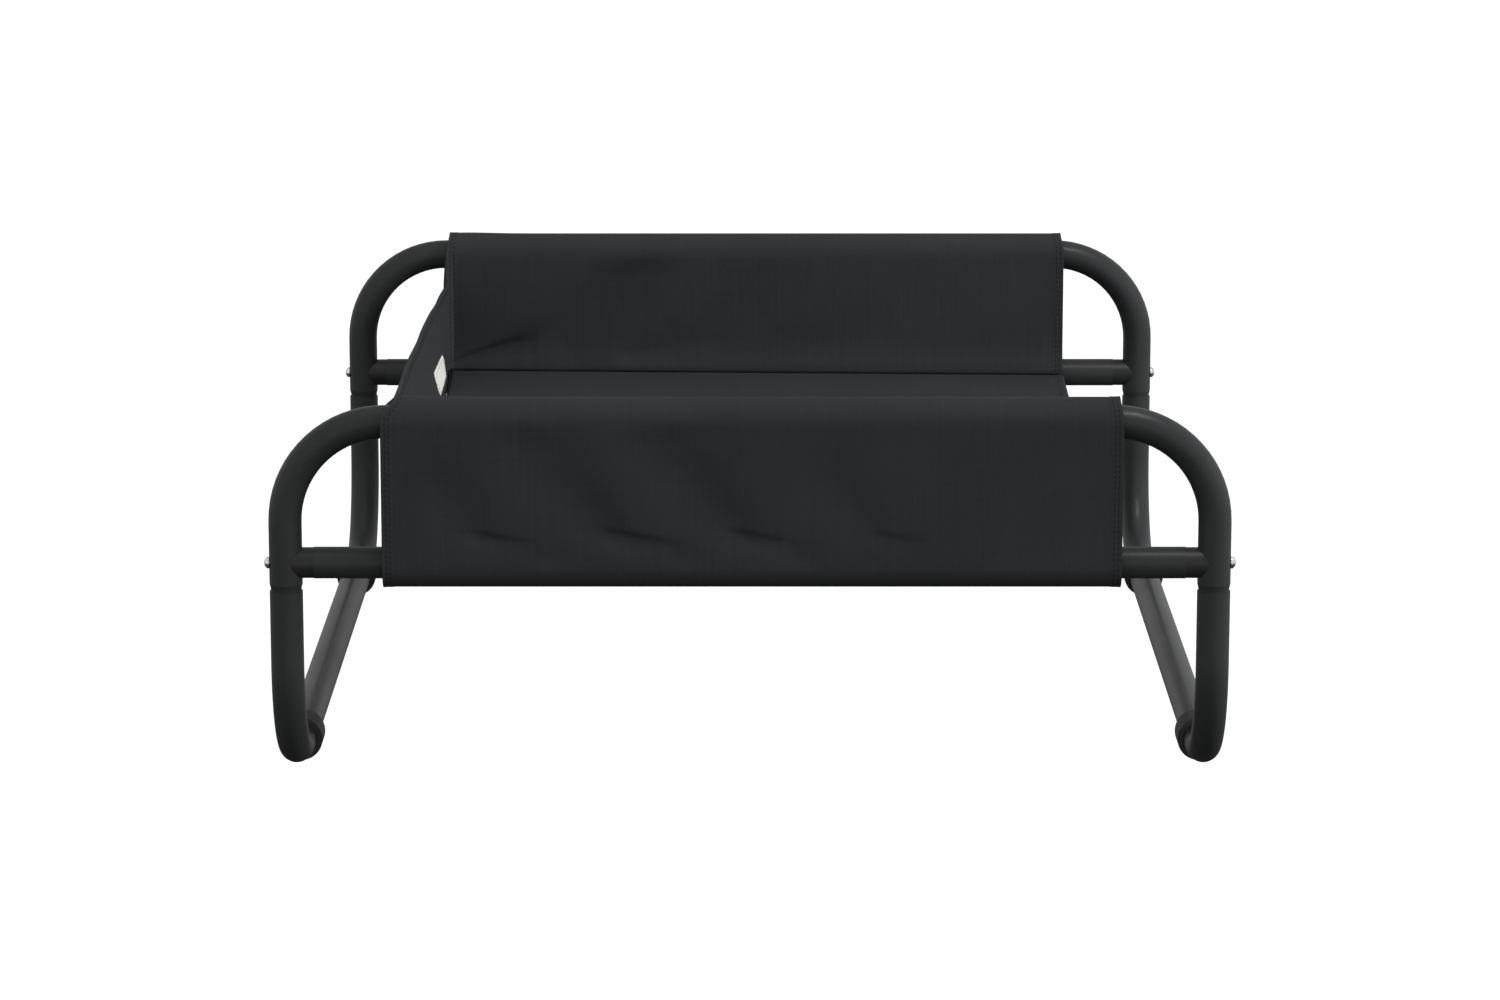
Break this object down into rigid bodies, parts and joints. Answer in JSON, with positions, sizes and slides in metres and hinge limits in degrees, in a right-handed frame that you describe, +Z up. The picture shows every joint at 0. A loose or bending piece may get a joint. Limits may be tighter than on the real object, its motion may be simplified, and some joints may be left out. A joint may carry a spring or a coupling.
{
  "type": "raised dog bed",
  "caption": "Raised dog bed with a bent steel tube frame and a stretched fabric seat, two sleeve-covered arms and a low back; the front is open.",
  "frame": {"origin": "on the floor, at the middle of the bed's footprint", "axes": "+X towards the open front, away from the back; +Y towards the left arm, as a dog that looks out of the front has it; +Z up"},
  "size_m": [0.7314, 0.8254, 0.3044],
  "materials": {
    "frame_tube": "matte charcoal powder coat",
    "moulded_plug": "black moulded plastic, fine grain",
    "threaded_insert": "turned",
    "bolt": "bright zinc plating",
    "foot": "soft black plastic",
    "cover_cloth": "plain-woven charcoal polyester"
  },
  "bodies": {
    "upper_frame": {"right_arm_hoop": "frame_tube", "right_seat_rail": "frame_tube", "right_arm_cover": "cover_cloth", "left_arm_hoop": "frame_tube", "left_seat_rail": "frame_tube", "left_arm_cover": "cover_cloth", "right_back_rail_plug": "moulded_plug", "right_back_rail_insert": "threaded_insert", "right_back_rail_bolt": "bolt", "right_front_rail_plug": "moulded_plug", "right_front_rail_insert": "threaded_insert", "right_front_rail_bolt": "bolt", "left_back_rail_plug": "moulded_plug", "left_back_rail_insert": "threaded_insert", "left_back_rail_bolt": "bolt", "left_front_rail_plug": "moulded_plug", "left_front_rail_insert": "threaded_insert", "left_front_rail_bolt": "bolt", "seat_sheet": "cover_cloth", "back_panel": "cover_cloth"},
    "back_base": {"back_base_tube": "frame_tube", "right_back_foot": "foot", "left_back_foot": "foot"},
    "front_base": {"front_base_tube": "frame_tube", "right_front_foot": "foot", "left_front_foot": "foot"}
  },
  "joints": [
    {"name": "back_base_plug", "type": "slide", "parent": "upper_frame", "child": "back_base", "axis": [0, 0, 1], "range_m": [-0.05, 0]},
    {"name": "front_base_plug", "type": "slide", "parent": "upper_frame", "child": "front_base", "axis": [0, 0, 1], "range_m": [-0.05, 0]}
  ]
}
